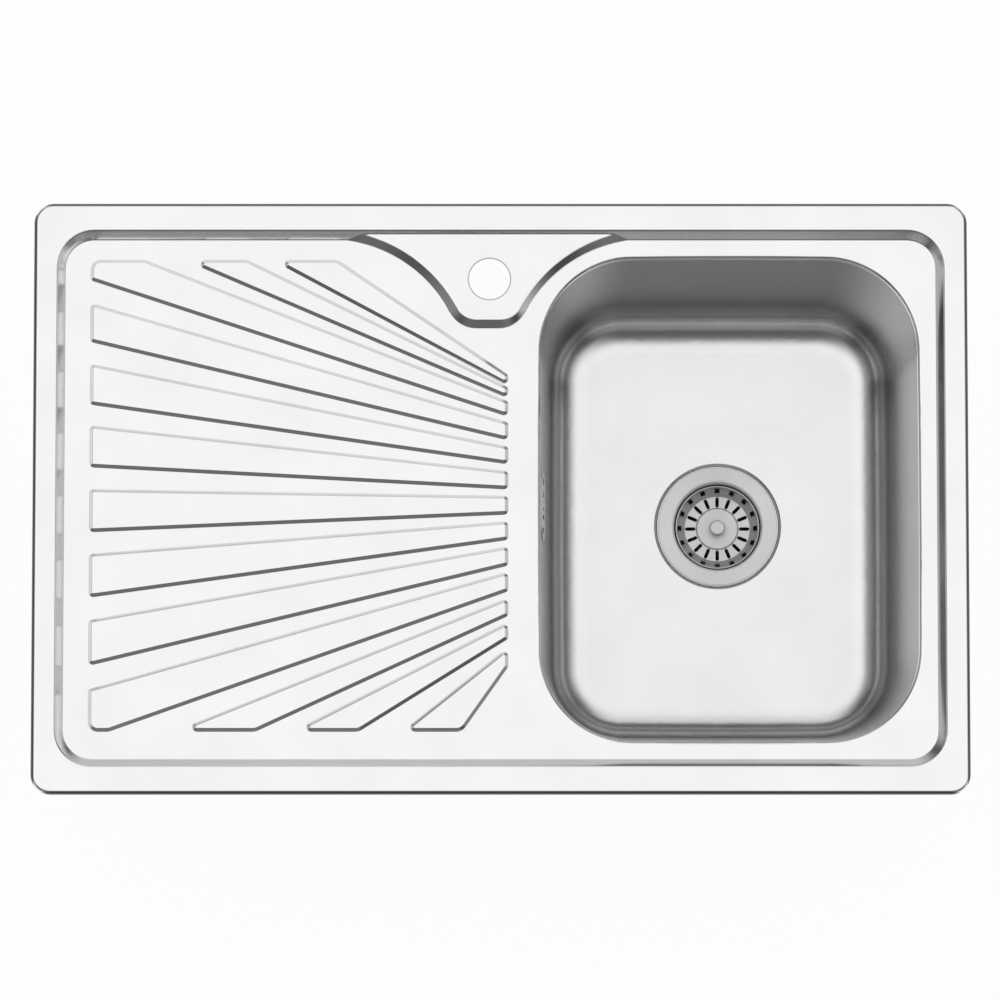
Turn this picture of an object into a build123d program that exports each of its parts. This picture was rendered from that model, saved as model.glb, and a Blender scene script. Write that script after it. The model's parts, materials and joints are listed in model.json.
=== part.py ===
from build123d import *
import math
import os

# Inset kitchen sink: one pressed steel deck with a ribbed drainboard on the left, a
# welded bowl on the right, a basket strainer waste, an overflow and eight rim clamps.
# Millimetres. X runs left to right, Y front to back, Z up. The origin is the centre
# of the rim's outline, on the worktop that the rim rests on.

# Steel sheet and the levels of the pressing, above the worktop
sheet = 0.8
rim_top = 6.0
lip_clearance = 0.4
ledge_top = 2.6
recess_top = -2.5
rib_height = 2.4

# Rim outline
rim_width = 790.0
rim_depth = 504.0
rim_corner = 17.0
rim_edge_radius = 4.0

# Sunk field inside the rim; the margins run from the rim's edge to the foot of the slope
field_end_margin = 26.5
field_side_margin = 30.4
field_corner = 24.5
field_slope_angle = 50.0
brim_radius = 3.0
press_radius = 2.0

# Tap ledge: flat front and a tap hole, measured from the rim's back edge, and two wide
# concave sides, the right one running round the bowl's corner. The ledge's top leans a
# little right of its foot.
ledge_slope_angle = 37.5
ledge_lean = 1.3
ledge_front_inset = 106.2
ledge_back_inset = 16.0
ledge_front_corner = 25.5
ledge_flat = 9.7
ledge_bowl_gap = 38.5
ledge_side_shift = 13.55
ledge_side_drop = 22.5
tap_hole_inset = 64.7
tap_hole_shift = 1.9
tap_hole_radius = 17.5

# Drainboard: thirteen raised ribs that fan out from the bowl, drawn at half height.
# The gaps run to the foot of the field's slope and to the bowl's mouth. Each row is one
# rib: where its lower and upper edges cross the left end, then the right, on a drainboard
# as deep as rib_rows_depth; the fan spreads with the drainboard's own depth.
rib_left_gap = 22.7
rib_mouth_gap = 27.55
rib_front_gap = 24.8
rib_back_gap = 18.5
rib_rows_depth = 399.9
rib_corner = 2.5
rib_outer_corner = 7.0
rib_shoulder = 9.0
rib_slope = 40.0
rib_edge_radius = 1.2
rib_foot_radius = 0.8
rib_rows = [
    (288.0, 344.7, 98.4, 105.2),
    (239.3, 267.9, 87.7, 94.4),
    (188.0, 220.6, 71.8, 82.3),
    (135.2, 165.6, 51.5, 64.2),
    (81.6, 113.7, 30.9, 43.3),
    (28.1, 61.1, 9.3, 22.2),
    (-27.2, 6.7, -12.2, 1.0),
    (-82.8, -48.5, -34.0, -20.7),
    (-140.6, -104.7, -56.0, -42.3),
    (-202.4, -163.4, -78.0, -64.1),
    (-261.1, -228.1, -99.0, -86.5),
    (-338.5, -287.2, -118.6, -107.2),
    (-640.1, -411.4, -142.8, -129.2),
]

# Bowl: mouth in the field, and how far each wall leans in on its way to the floor
mouth_width = 321.5
mouth_right_gap = 14.35
mouth_front_gap = 14.3
mouth_back_gap = 14.9
mouth_corner = 79.0
mouth_bulge = 1.6
mouth_edge_radius = 2.5
collar_height = 5.5
floor_level = -150.0
wall_run_left = 13.35
wall_run_right = 27.15
wall_run_front = 23.3
wall_run_back = 32.7
foot_corner = 56.0
foot_bulge = 1.0
floor_radius = 32.0
drain_set_back = 3.0
drain_hole_radius = 45.0
drain_recess_radius = 52.0
drain_recess_depth = 2.0
drain_recess_run = 2.6

# Seal under the rim, and the worktop opening that the sink drops into
seal_gap = 0.3
seal_width = 5.0
cutout_margin = 10.0

# Sound-deadening pads stuck under the bowl's floor
pad_thickness = 2.5
pad_margin = 6.0
pad_depth = 72.0
pad_corner = 10.0

# Basket strainer: steel body clamped through the bowl's drain hole. Every drop in the
# strainer and the waste below it is measured down from the bowl's floor.
strainer_sheet = 1.0
flange_gap = 0.6
flange_bevel = 1.0
flange_drop = 0.4
flange_gasket_height = 1.0
cup_mouth_radius = 37.4
cup_mouth_rounding = 2.6
cup_wall_radius = 36.9
cup_step_drop = 18.0
cup_floor_radius = 30.5
cup_floor_drop = 34.8
cup_hole_radius = 5.0
cup_hole_ring = 18.5
cup_hole_count = 8

# Basket with its plug, lifted out by the knob
basket_sheet = 0.7
basket_rim_radius = 36.2
basket_rim_drop = 5.7
basket_rim_bead = 0.7
basket_wall_radius = 35.0
basket_knee_radius = 33.0
basket_knee_drop = 11.0
basket_floor_radius = 28.0
basket_floor_drop = 16.0
basket_plate_radius = 17.8
basket_plate_rise = 1.4
slot_count = 16
slot_width = 3.0
slot_inner = 18.7
slot_outer = 27.7
window_inner = 30.8
window_outer = 34.2
window_width = 4.2
post_radius = 3.0
pin_radius = 2.4
pin_length = 8.0
knob_radius = 6.35
knob_height = 5.6
knob_top_drop = 6.7
plug_radius = 27.5
plug_thickness = 7.3
plug_recess_radius = 8.2
plug_recess_depth = 5.0
plug_lift = 0.3
clip_height = 0.8
clip_radius = 5.4

# Plastic waste body under the bowl, pulled up by the central screw
body_gasket_height = 3.0
body_gasket_width = 8.0
body_flange_radius = 53.0
body_flange_height = 3.5
body_wall = 2.8
body_inner_radius = 43.6
body_shoulder_drop = 38.0
body_neck_drop = 56.0
body_neck_radius = 23.9
body_neck_wall = 3.2
body_outlet_drop = 94.0
hub_radius = 10.0
hub_top_drop = 40.5
hub_height = 11.0
spoke_width = 5.0
spoke_count = 3
screw_head_radius = 7.2
screw_head_height = 3.2
screw_shaft_radius = 4.0
screw_length = 14.0
socket_radius = 2.8
insert_radius = 7.0
thread_clearance = 0.05

# Overflow on the bowl's left wall
overflow_level = -33.0
overflow_plate_length = 59.0
overflow_plate_height = 26.0
overflow_plate_thickness = 0.9
overflow_plate_gap = 0.1
overflow_slot_width = 6.0
overflow_slot_height = 12.5
overflow_slot_places = (-21.2, -10.3, 10.3, 21.2)
overflow_hole_length = 54.0
overflow_hole_height = 18.0
overflow_screw_radius = 2.0
overflow_head_radius = 4.2
overflow_head_height = 0.9
overflow_gasket_length = 72.0
overflow_gasket_height = 34.0
overflow_gasket_thickness = 2.0
housing_flange = 2.5
housing_length = 62.0
housing_height = 26.0
housing_depth = 30.0
housing_wall = 2.2
boss_radius = 4.6

# Overflow pipe with a compression nut and washer at each end
pipe_radius = 10.0
pipe_wall = 1.5
pipe_bend = 32.0
pipe_drop = 29.0
spigot_clearance = 0.25
spigot_wall = 2.75
spigot_length = 22.0
pipe_entry = 12.0
washer_length = 3.0
washer_cone = 1.5
nut_wall = 3.4
nut_lip = 3.0
nut_length = 17.0
nut_clearance = 0.3
nut_grips = 10
grip_depth = 1.1

# Rim clamps: welded bracket, screw from below, swinging arm
bracket_sheet = 1.5
bracket_width = 18.0
bracket_inset = 7.5
bracket_tab = 5.0
bracket_level = -26.0
clamp_axis_inset = 14.0
bracket_nut_radius = 4.6
bracket_nut_height = 3.0
clamp_screw_radius = 2.5
clamp_clearance = 0.05
clamp_tip_level = -18.5
clamp_head_radius = 4.6
clamp_head_height = 3.4
clamp_washer_radius = 6.6
clamp_washer_height = 1.0
clamp_gap = 0.3
clamp_slot_width = 1.2
clamp_slot_depth = 1.4
worktop_thickest = 40.0
arm_sheet = 2.0
arm_width = 15.0
arm_reach = 29.0
arm_flange = 4.0
claw_height = 4.0
claw_tooth = 2.4
clamp_end_inset = 110.0

# Earth bonding tag under the back of the rim
tag_end_inset = 65.0
tag_sheet = 1.2
tag_width = 14.0
tag_drop = 22.0
tag_weld = 6.0
tag_inset = 6.0
tag_hole_radius = 3.2
tag_hole_drop = 16.0

# Worked out from the values above
rim_under = rim_top - sheet
weld_level = recess_top - collar_height
core_margin = 8.0
field_width = rim_width - 2 * field_end_margin
field_depth = rim_depth - 2 * field_side_margin
cutout_width = rim_width - 2 * cutout_margin
cutout_depth = rim_depth - 2 * cutout_margin
mouth_depth = field_depth - mouth_front_gap - mouth_back_gap
mouth_x = field_width / 2 - mouth_right_gap - mouth_width / 2
mouth_y = (mouth_front_gap - mouth_back_gap) / 2
mouth_left = mouth_x - mouth_width / 2
mouth_back = mouth_y + mouth_depth / 2
foot_width = mouth_width - wall_run_left - wall_run_right
foot_depth = mouth_depth - wall_run_front - wall_run_back
foot_x = mouth_x + (wall_run_left - wall_run_right) / 2
foot_y = mouth_y + (wall_run_front - wall_run_back) / 2
drain_x = foot_x
drain_y = foot_y + drain_set_back
ledge_front = rim_depth / 2 - ledge_front_inset
ledge_back = rim_depth / 2 - ledge_back_inset
ledge_side_radius = mouth_corner + ledge_bowl_gap
ledge_side_y = mouth_back - mouth_corner - ledge_side_drop
ledge_corner_y = ledge_front + ledge_front_corner
ledge_reach = ledge_side_radius + ledge_front_corner
ledge_side_x = ledge_flat + math.sqrt(ledge_reach**2 - (ledge_corner_y - ledge_side_y) ** 2)
ledge_x = mouth_left + mouth_corner + ledge_side_shift - ledge_side_x
tap_hole_x = ledge_x + tap_hole_shift
tap_hole_y = rim_depth / 2 - tap_hole_inset
rib_left = rib_left_gap - field_width / 2
rib_right = mouth_left - rib_mouth_gap
rib_front = rib_front_gap - field_depth / 2
rib_back = field_depth / 2 - rib_back_gap
rib_spread = (rib_back - rib_front) / rib_rows_depth
drain_seat = floor_level - drain_recess_depth
drain_under = drain_seat - sheet
flange_under = drain_seat + flange_gasket_height
flange_radius = drain_recess_radius - flange_gap
cup_step_level = floor_level - cup_step_drop
cup_floor_level = floor_level - cup_floor_drop
basket_rim_level = floor_level - basket_rim_drop
basket_knee_level = floor_level - basket_knee_drop
basket_floor_level = floor_level - basket_floor_drop
knob_top_level = floor_level - knob_top_drop
body_top = drain_under - body_gasket_height
body_shoulder_level = floor_level - body_shoulder_drop
body_neck_level = floor_level - body_neck_drop
body_outlet_level = floor_level - body_outlet_drop
hub_top_level = floor_level - hub_top_drop
pipe_level = floor_level - pipe_drop
wall_lean = math.degrees(math.atan2(wall_run_left, recess_top - floor_level))
overflow_wall_x = mouth_left + (recess_top - overflow_level) * math.tan(math.radians(wall_lean))
overflow_face = Plane(
    origin=(overflow_wall_x, drain_y, overflow_level),
    x_dir=(0, 1, 0),
    z_dir=(math.cos(math.radians(wall_lean)), 0, math.sin(math.radians(wall_lean))),
)
spigot_inner = pipe_radius + spigot_clearance
spigot_outer = spigot_inner + spigot_wall
overflow_gasket_back = -sheet - overflow_gasket_thickness
pipe_x = overflow_wall_x + overflow_gasket_back - housing_flange - housing_depth / 2
pipe_end_x = drain_x - body_inner_radius - body_wall - spigot_length + pipe_entry
arm_top = -worktop_thickest - claw_height
drain_axis = Pos(drain_x, drain_y)
clamp_end = rim_width / 2 - clamp_end_inset
clamp_places = {
    "front_left": (-clamp_end, -1, 0),
    "front_middle": (0.0, -1, 0),
    "front_right": (clamp_end, -1, 0),
    "right": (0.0, 0, 1),
    "back_right": (clamp_end, 1, 0),
    "back_middle": (0.0, 1, 0),
    "back_left": (-clamp_end, 1, 0),
    "left": (0.0, 0, -1),
}


def outline(width, depth, corner, x=0.0, y=0.0):
    """A rounded rectangle in plan."""
    return Pos(x, y) * RectangleRounded(width, depth, corner)


def bulged_outline(x, y, width, depth, corner, bulge):
    """A rounded rectangle whose four sides bow outward a little."""
    half_x = width / 2 - bulge
    half_y = depth / 2 - bulge
    corners = [(-half_x, -half_y), (half_x, -half_y), (half_x, half_y), (-half_x, half_y)]
    crowns = [(0, -depth / 2), (width / 2, 0), (0, depth / 2), (-width / 2, 0)]
    sides = []
    for i in range(4):
        sides.append(ThreePointArc(corners[i], crowns[i], corners[(i + 1) % 4]))
    face = make_face(sides)
    return Pos(x, y) * fillet(face.vertices(), corner)


def slope_run(height, angle=ledge_slope_angle):
    """How far a pressed slope moves sideways over a height."""
    return height / math.tan(math.radians(angle))


def skin_shift(skin, angle=ledge_slope_angle):
    """How far the foot of a slope moves sideways from the sheet's upper to its lower face."""
    return skin * math.tan(math.radians(angle / 2))


def ledge_outline(height, skin):
    """Plan of the tap ledge where its slope is at a height above the field."""
    inset = slope_run(height) + skin_shift(skin)
    side = ledge_side_radius + inset
    corner = ledge_front_corner - inset
    front = ledge_front + inset
    flat = ledge_flat
    corner_y = ledge_corner_y
    lean = math.degrees(math.atan2(corner_y - ledge_side_y, ledge_side_x - flat))
    left_side = CenterArc((-ledge_side_x, ledge_side_y), side, 90, lean - 90)
    left_corner = CenterArc((-flat, corner_y), corner, 180 + lean, 90 - lean)
    right_corner = CenterArc((flat, corner_y), corner, 270, 90 - lean)
    right_side = CenterArc((ledge_side_x, ledge_side_y), side, 180 - lean, lean - 90)
    back = Polyline(
        (ledge_side_x, ledge_side_y + side),
        (ledge_side_x, ledge_back),
        (-ledge_side_x, ledge_back),
        (-ledge_side_x, ledge_side_y + side),
    )
    front_edge = Line((-flat, front), (flat, front))
    face = make_face([left_side, left_corner, front_edge, right_corner, right_side, back])
    lean_x = ledge_lean * height / (ledge_top - recess_top)
    return Pos(ledge_x + lean_x, 0, recess_top + height - skin) * face


def ledge_solid(skin):
    """The raised ledge with sloped sides, sunk a little into the field."""
    ledge = loft([ledge_outline(-1, skin), ledge_outline(ledge_top - recess_top, skin)], ruled=True)
    plateau = ledge.faces().sort_by(Axis.Z)[-1]
    back = ledge_side_y + ledge_side_radius
    sides = plateau.edges().filter_by(lambda edge: edge.center().Y < back)
    return fillet(sides, press_radius - skin)


def rib_outline(row):
    """Plan of one rib at half height: a wedge between two rays, cut off by the field's edges."""
    left_low, left_high, right_low, right_high = [y * rib_spread for y in row]
    rays = [
        (rib_left, left_low),
        (rib_right, right_low),
        (rib_right, right_high),
        (rib_left, left_high),
    ]
    field = Rectangle(rib_right - rib_left, rib_back - rib_front)
    field = Pos((rib_left + rib_right) / 2, (rib_front + rib_back) / 2) * field
    wedge = (make_face(Polyline(*rays, close=True)) & field).face()
    ends = [v for v in wedge.vertices() if v.Y < rib_front + 0.1 or v.Y > rib_back - 0.1]
    outer = [v for v in ends if v.X < rib_left + 0.1]
    shoulder = [v for v in ends if v not in outer and v.X > max(e.X for e in ends) - 0.1]
    plain = [v for v in wedge.vertices() if v not in outer and v not in shoulder]
    plain_places = [Vector(v) for v in plain]
    outer_places = [Vector(v) for v in outer]
    if shoulder:
        wedge = fillet(shoulder, rib_shoulder)
    if outer_places:
        wedge = fillet(vertices_at(wedge, outer_places), rib_outer_corner)
    return fillet(vertices_at(wedge, plain_places), rib_corner)


def vertices_at(shape, places):
    """The vertices of a shape at the given places."""
    return [v for v in shape.vertices() if min((Vector(v) - p).length for p in places) < 0.01]


def rib_solid(row, skin):
    """One raised rib with sloped sides and rounded edges, on a thin pad of the field."""
    level = recess_top - skin
    grow = slope_run(rib_height, rib_slope) / 2 - skin_shift(skin, rib_slope)
    foot = offset(rib_outline(row), grow, kind=Kind.ARC)
    rib = extrude(Pos(0, 0, level) * foot, amount=rib_height, taper=90 - rib_slope)
    rib = fillet(rib.faces().sort_by(Axis.Z)[-1].edges(), rib_edge_radius - skin)
    pad = offset(foot, rib_foot_radius + skin, kind=Kind.ARC)
    rib += extrude(Pos(0, 0, level) * pad, amount=-sheet)
    foot_edges = edges_on(rib, (Pos(0, 0, level) * foot).edges())
    return fillet(foot_edges, rib_foot_radius + skin)


def edges_on(shape, pattern):
    """The edges of a shape whose middles lie on the edges of a pattern."""
    return [e for e in shape.edges() if min(line.distance_to(e @ 0.5) for line in pattern) < 0.01]


def field_tool(skin):
    """What the press takes out of the plate: the sunk field with its slope."""
    depth = rim_top - recess_top
    grow = skin_shift(skin, field_slope_angle)
    foot = outline(field_width + 2 * grow, field_depth + 2 * grow, field_corner + grow)
    tool = extrude(Pos(0, 0, recess_top - skin) * foot, amount=depth, taper=field_slope_angle - 90)
    tool = fillet(tool.faces().sort_by(Axis.Z)[0].edges(), press_radius + skin)
    cap = outline(rim_width + 20, rim_depth + 20, rim_corner)
    tool += extrude(Pos(0, 0, rim_top - skin) * cap, amount=4)
    brim = tool.edges().filter_by(
        lambda edge: abs(edge.center().Z - rim_top + skin) < 0.01
        and abs(edge.center().X) < rim_width / 2
        and abs(edge.center().Y) < rim_depth / 2
    )
    return fillet(brim, brim_radius - skin)


def bowl_cavity(skin):
    """The space in the bowl, or with the sheet added, the space that the bowl takes up."""
    grow = 2 * skin
    mouth = bulged_outline(
        mouth_x, mouth_y, mouth_width + grow, mouth_depth + grow, mouth_corner + skin, mouth_bulge
    )
    foot = bulged_outline(
        foot_x, foot_y, foot_width + grow, foot_depth + grow, foot_corner + skin, foot_bulge
    )
    top = Pos(0, 0, recess_top - skin) * mouth
    bottom = Pos(0, 0, floor_level - skin) * foot
    cavity = loft([bottom, top], ruled=True)
    cavity = fillet(cavity.faces().sort_by(Axis.Z)[0].edges(), floor_radius + skin)
    return cavity


def pressed_block(skin):
    """A block whose top is the deck sheet's upper face, or with skin its lower face."""
    slab = outline(rim_width - 2 * skin, rim_depth - 2 * skin, rim_corner - skin)
    slab_foot = lip_clearance - 2 * skin
    block = extrude(Pos(0, 0, slab_foot) * slab, amount=rim_top - skin - slab_foot)
    block = fillet(block.faces().sort_by(Axis.Z)[-1].edges(), rim_edge_radius - skin)
    core_grow = 2 * (core_margin + skin)
    core = outline(field_width + core_grow, field_depth + core_grow, field_corner + core_margin)
    core_foot = weld_level - skin
    block += extrude(Pos(0, 0, core_foot) * core, amount=lip_clearance + 1 - core_foot)
    block -= field_tool(skin)
    for row in rib_rows:
        block += rib_solid(row, skin)
    block += ledge_solid(skin)
    block = fillet(edges_on(block, ledge_outline(0, skin).edges()), press_radius)
    cavity = bowl_cavity(skin)
    block -= cavity
    mouth = cavity.faces().sort_by(Axis.Z)[-1].edges()
    block = fillet(edges_on(block, mouth), mouth_edge_radius - skin)
    hole = Pos(tap_hole_x, tap_hole_y, ledge_top) * Cylinder(tap_hole_radius, 8 * sheet)
    return block - hole


def deck():
    """The pressed top: rim, drainboard, tap ledge and the collar that the bowl is welded to."""
    return pressed_block(0) - pressed_block(sheet)


def bowl():
    """The drawn bowl, butt-welded under the deck's collar, with drain and overflow holes."""
    shells = []
    for skin in (0, sheet):
        recess = Cone(
            drain_recess_radius + skin,
            drain_recess_radius + skin + drain_recess_run,
            drain_recess_depth,
            align=(Align.CENTER, Align.CENTER, Align.MIN),
        )
        shells.append(bowl_cavity(skin) + drain_axis * Pos(0, 0, drain_seat - skin) * recess)
    shell = shells[1] - shells[0]
    above = Pos(mouth_x, mouth_y, weld_level) * Box(
        mouth_width + 20, mouth_depth + 20, 20, align=(Align.CENTER, Align.CENTER, Align.MIN)
    )
    shell -= above
    shell -= drain_axis * Pos(0, 0, drain_seat) * Cylinder(drain_hole_radius, 8 * sheet)
    slot = SlotOverall(overflow_hole_length, overflow_hole_height)
    return shell - overflow_face.location * extrude(slot, amount=3 * sheet, both=True)


def rim_seal():
    """Foam seal stuck under the rim, squeezed between it and the worktop."""
    inset = rim_edge_radius + seal_gap
    outer = outline(rim_width - 2 * inset, rim_depth - 2 * inset, rim_corner - inset)
    inner_inset = inset + seal_width
    inner = outline(rim_width - 2 * inner_inset, rim_depth - 2 * inner_inset, rim_corner - inset)
    return extrude(outer - inner, amount=rim_under)


def sound_pad(y):
    """Bitumen pad stuck under the bowl's floor."""
    width = foot_width - 2 * (floor_radius + pad_margin)
    pad = extrude(outline(width, pad_depth, pad_corner), amount=-pad_thickness)
    pad = fillet(pad.faces().sort_by(Axis.Z)[0].edges(), pad_thickness / 3)
    return Pos(foot_x, y, floor_level - sheet) * pad


def turned(points):
    """A solid turned about the vertical axis from its half section."""
    section = make_face(Polyline(*points, close=True))
    return revolve(Plane.XZ.location * section, Axis.Z)


def ring(outer, inner, foot, height):
    """A flat ring."""
    section = [(inner, foot), (outer, foot), (outer, foot + height), (inner, foot + height)]
    return turned(section)


def strainer_body():
    """Steel flange and cup that line the drain hole; the plug seals on its floor."""
    top = flange_under + strainer_sheet
    under = top - strainer_sheet
    mouth = cup_mouth_radius + cup_mouth_rounding
    lip = []
    for angle in (22.5, 45, 67.5):
        across = cup_mouth_rounding * math.cos(math.radians(angle))
        down = cup_mouth_rounding * (1 - math.sin(math.radians(angle)))
        lip.append((mouth - across, top - down))
    outer = [
        (0, cup_floor_level),
        (cup_floor_radius, cup_floor_level),
        (cup_wall_radius, cup_step_level),
        (cup_mouth_radius, top - cup_mouth_rounding),
        *lip,
        (mouth, top),
        (flange_radius - flange_bevel, top),
        (flange_radius, top - flange_drop),
        (flange_radius, under - flange_drop + 0.2),
        (flange_radius - flange_bevel, under),
        (mouth, under),
        (cup_mouth_radius + strainer_sheet, under - cup_mouth_rounding),
        (cup_wall_radius + strainer_sheet, cup_step_level - strainer_sheet / 2),
        (cup_floor_radius + strainer_sheet / 2, cup_floor_level - strainer_sheet),
        (0, cup_floor_level - strainer_sheet),
    ]
    body = turned(outer)
    for place in PolarLocations(cup_hole_ring, cup_hole_count):
        body -= place * Pos(0, 0, cup_floor_level) * Cylinder(cup_hole_radius, 4 * strainer_sheet)
    centre = Cylinder(screw_shaft_radius + thread_clearance, 4 * strainer_sheet)
    body -= Pos(0, 0, cup_floor_level) * centre
    return drain_axis * body


def flange_gasket():
    """Foam washer between the strainer's flange and the bowl's floor."""
    inner = cup_mouth_radius + cup_mouth_rounding + strainer_sheet
    outer = flange_radius - flange_bevel
    return drain_axis * ring(outer, inner, drain_seat, flange_gasket_height)


def body_gasket():
    """Rubber washer between the bowl and the waste body."""
    inner = body_inner_radius + 1
    return drain_axis * ring(inner + body_gasket_width, inner, body_top, body_gasket_height)


def waste_body():
    """Moulded housing under the drain, with the overflow's inlet and the outlet thread."""
    wall = body_inner_radius + body_wall
    flange_foot = body_top - body_flange_height
    bore = body_neck_radius - body_neck_wall
    section = [
        (body_inner_radius, body_top),
        (body_flange_radius, body_top),
        (body_flange_radius, flange_foot),
        (wall, flange_foot),
        (wall, body_shoulder_level),
        (body_neck_radius, body_neck_level),
        (body_neck_radius, body_outlet_level),
        (bore, body_outlet_level),
        (bore, body_neck_level - body_wall / 3),
        (body_inner_radius, body_shoulder_level),
    ]
    body = turned(section)
    hub_foot = hub_top_level - hub_height
    for place in PolarLocations(0, spoke_count):
        spoke = Pos(body_inner_radius / 2, 0, hub_foot + hub_height / 2)
        body += place * spoke * Box(body_inner_radius + body_wall, spoke_width, hub_height)
    body += Pos(0, 0, hub_foot + hub_height / 2) * Cylinder(hub_radius, hub_height)
    outside = turned(
        [
            (wall, body_top + 1),
            (wall, body_shoulder_level),
            (body_neck_radius, body_neck_level),
            (body_neck_radius, body_neck_level - 10),
            (2 * wall, body_neck_level - 10),
            (2 * wall, body_top + 1),
        ]
    )
    body -= outside - ring(body_flange_radius, wall, flange_foot, body_flange_height)
    body -= Pos(0, 0, hub_foot + hub_height / 2) * Cylinder(screw_shaft_radius + 1, 2 * hub_height)
    pocket = extrude(RegularPolygon(insert_radius, 6), amount=-hub_height / 2)
    body -= Pos(0, 0, hub_foot + hub_height / 2) * pocket
    sleeve = Pos(-body_inner_radius - 1, 0, pipe_level) * Rot(0, -90, 0)
    length = body_wall - 1 + spigot_length
    base = (Align.CENTER, Align.CENTER, Align.MIN)
    body += sleeve * Cylinder(spigot_outer, length, align=base)
    body -= sleeve * Pos(0, 0, spigot_length - pipe_entry - 1) * Cylinder(spigot_inner, length, align=base)
    body -= sleeve * Pos(0, 0, -2) * Cylinder(pipe_radius - pipe_wall, length, align=base)
    return drain_axis * body


def waste_insert():
    """Brass nut held in the waste body's hub."""
    nut = extrude(RegularPolygon(insert_radius, 6), amount=-hub_height / 2)
    nut -= Cylinder(screw_shaft_radius + thread_clearance, 3 * hub_height)
    return drain_axis * Pos(0, 0, hub_top_level - hub_height / 2) * nut


def waste_screw():
    """Central screw that clamps strainer and waste body to the bowl; the plug's pin enters it."""
    head = ring(screw_head_radius, 0, cup_floor_level, screw_head_height)
    head = fillet(head.faces().sort_by(Axis.Z)[-1].edges(), 0.8)
    screw = head + ring(screw_shaft_radius, 0, cup_floor_level - screw_length, screw_length)
    reach = pin_length + 1
    socket = ring(socket_radius, 0, cup_floor_level + screw_head_height - reach, 2 * reach)
    return drain_axis * (screw - socket)


def strainer_basket():
    """Spun steel basket with sixteen radial slots, a window beyond each, and a rolled rim."""
    t = basket_sheet
    rim = basket_rim_level
    section = [
        (post_radius, basket_floor_level + basket_plate_rise),
        (basket_plate_radius - t, basket_floor_level + basket_plate_rise),
        (basket_plate_radius + t, basket_floor_level),
        (basket_floor_radius, basket_floor_level),
        (basket_knee_radius, basket_knee_level),
        (basket_wall_radius, rim - 1),
        (basket_wall_radius + t, rim - 1),
        (basket_knee_radius + t, basket_knee_level - t / 2),
        (basket_floor_radius + t / 2, basket_floor_level - t),
        (basket_plate_radius + t / 2, basket_floor_level - t),
        (basket_plate_radius - 3 * t / 2, basket_floor_level + basket_plate_rise - t),
        (post_radius, basket_floor_level + basket_plate_rise - t),
    ]
    basket = turned(section)
    bead = Torus(basket_rim_radius - basket_rim_bead, basket_rim_bead)
    length = slot_outer - slot_inner
    slot = Pos((slot_outer + slot_inner) / 2, 0) * SlotOverall(length, slot_width)
    window = Rectangle(window_outer - window_inner, window_width, align=(Align.MAX, Align.CENTER))
    slot += Pos(window_outer, 0) * window
    depth = rim - 1.5 - basket_floor_level + 2 * t
    cutter = Pos(0, 0, basket_floor_level - 2 * t) * extrude(slot, amount=depth)
    for place in PolarLocations(0, slot_count):
        basket -= place * cutter
    return drain_axis * (basket + Pos(0, 0, rim - basket_rim_bead) * bead)


def strainer_post():
    """Steel post through the basket and plug, with the pin that snaps into the screw."""
    plug_foot = cup_floor_level + plug_lift
    foot = plug_foot + plug_recess_depth - clip_height - 0.3
    top = knob_top_level - knob_height / 2
    post = ring(post_radius, 0, foot, top - foot)
    pin = ring(pin_radius, 0, foot - pin_length, pin_length)
    pin = fillet(pin.faces().sort_by(Axis.Z)[0].edges(), pin_radius / 2)
    return drain_axis * (post + pin)


def strainer_knob():
    """Turned knob on the post."""
    foot = knob_top_level - knob_height
    knob = ring(knob_radius, 0, foot, knob_height)
    knob = fillet(knob.faces().sort_by(Axis.Z)[-1].edges(), 1.2)
    knob = chamfer(knob.faces().sort_by(Axis.Z)[0].edges(), 2.4)
    knob -= ring(post_radius, 0, foot - 1, knob_height / 2 + 1)
    return drain_axis * knob


def rubber_plug():
    """Rubber plug under the basket; it closes the cup when the basket is pushed home."""
    foot = cup_floor_level + plug_lift
    top = foot + plug_thickness
    section = [
        (post_radius, foot + plug_recess_depth),
        (plug_recess_radius, foot + plug_recess_depth),
        (plug_recess_radius, foot),
        (plug_radius - 1.5, foot),
        (plug_radius, foot + 1.5),
        (plug_radius - 1, foot + 3),
        (plug_radius - 5, top),
        (post_radius, top),
    ]
    return drain_axis * turned(section)


def post_clip():
    """Spring clip that holds the plug up on the post."""
    foot = cup_floor_level + plug_lift + plug_recess_depth - clip_height
    clip = ring(clip_radius, post_radius, foot, clip_height)
    gap = Pos(clip_radius, 0, foot) * Box(2 * clip_radius, post_radius, 4 * clip_height)
    return drain_axis * (clip - gap)


def overflow_plate():
    """Steel cover over the overflow hole, with four slots and a screw hole."""
    plate = extrude(SlotOverall(overflow_plate_length, overflow_plate_height), overflow_plate_thickness)
    plate = fillet(plate.faces().sort_by(Axis.Z)[-1].edges(), overflow_plate_thickness * 0.6)
    slot = SlotOverall(overflow_slot_height, overflow_slot_width, rotation=90)
    for place in overflow_slot_places:
        plate -= Pos(place, 0, -1) * extrude(slot, amount=4 * overflow_plate_thickness)
    plate -= Cylinder(overflow_screw_radius + 0.2, 8 * overflow_plate_thickness)
    return overflow_face.location * Pos(0, 0, overflow_plate_gap) * plate


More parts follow.
